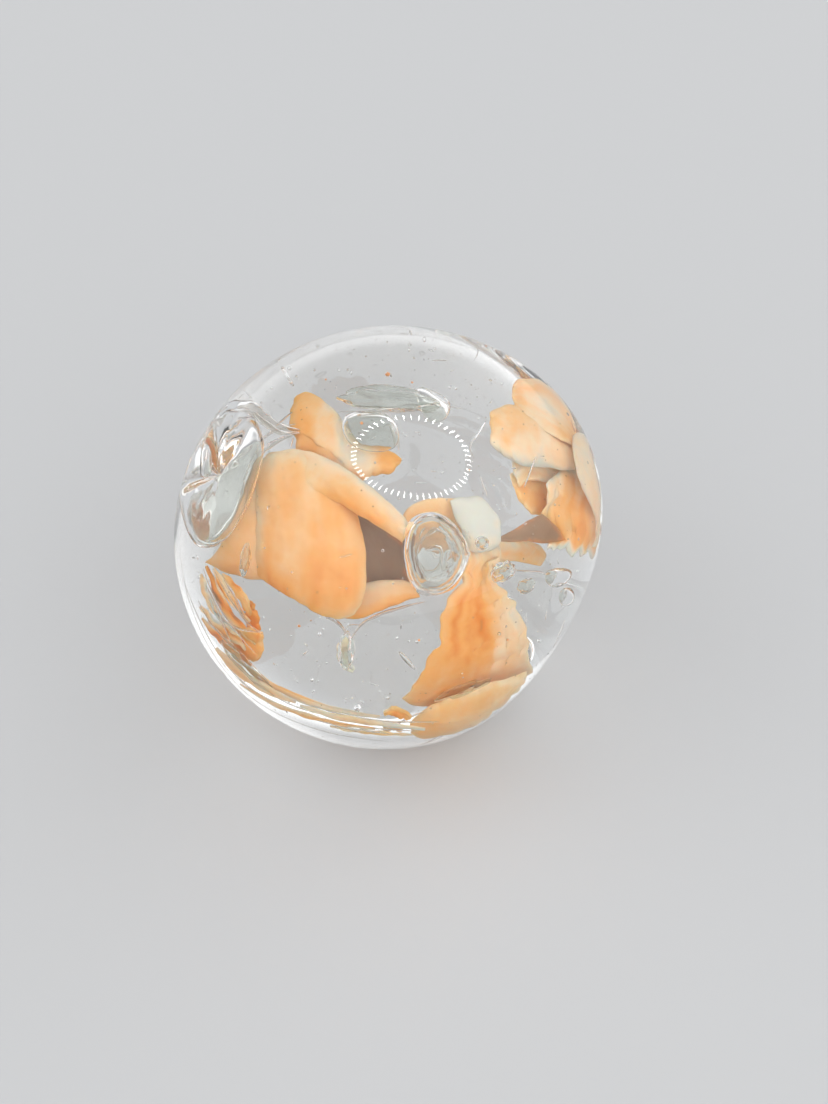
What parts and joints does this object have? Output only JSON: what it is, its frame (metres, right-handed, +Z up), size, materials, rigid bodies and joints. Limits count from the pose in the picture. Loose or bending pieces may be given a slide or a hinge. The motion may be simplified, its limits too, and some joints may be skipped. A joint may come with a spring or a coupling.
{
  "type": "paperweight",
  "caption": "Solid clear glass ball on a ground flat base, with salmon-orange opal glass petals round trapped air bubbles inside.",
  "frame": {"origin": "centre of the ground flat base", "axes": "+Z up, out of the top of the ball; -Y towards the side where the front petals droop; +X to the right seen from there"},
  "size_m": [0.0763, 0.076, 0.0695],
  "materials": {
    "clear_glass": "clear soda-lime glass, fire polished, ground flat on the base",
    "salmon_opal": "salmon-orange opal glass, soft and satin, deeper orange where thick",
    "deep_opal": "deeper orange opal glass",
    "tan_opal": "thin tan opal glass",
    "shaded_opal": "brown-grey opal glass, in shade",
    "cream_opal": "cream opal glass",
    "white_opal": "off-white opal glass"
  },
  "bodies": {
    "root": {"clear_casing": "clear_glass", "clear_core": "clear_glass", "petal_left": "salmon_opal", "petal_left_lip": "salmon_opal", "petal_left_inner": "shaded_opal", "petal_left_hem": "tan_opal", "petal_left_side": "salmon_opal", "petal_left_tail": "salmon_opal", "petal_back_left": "salmon_opal", "petal_throat": "salmon_opal", "petal_front_crest": "white_opal", "petal_front_right": "salmon_opal", "petal_front_foot": "deep_opal", "petal_front_skirt": "tan_opal", "petal_right": "salmon_opal", "petal_right_curl": "salmon_opal", "petal_right_lining": "cream_opal", "petal_right_pocket": "deep_opal", "petal_right_wing": "salmon_opal", "petal_right_edge": "cream_opal", "frit_specks": "salmon_opal"}
  },
  "joints": []
}
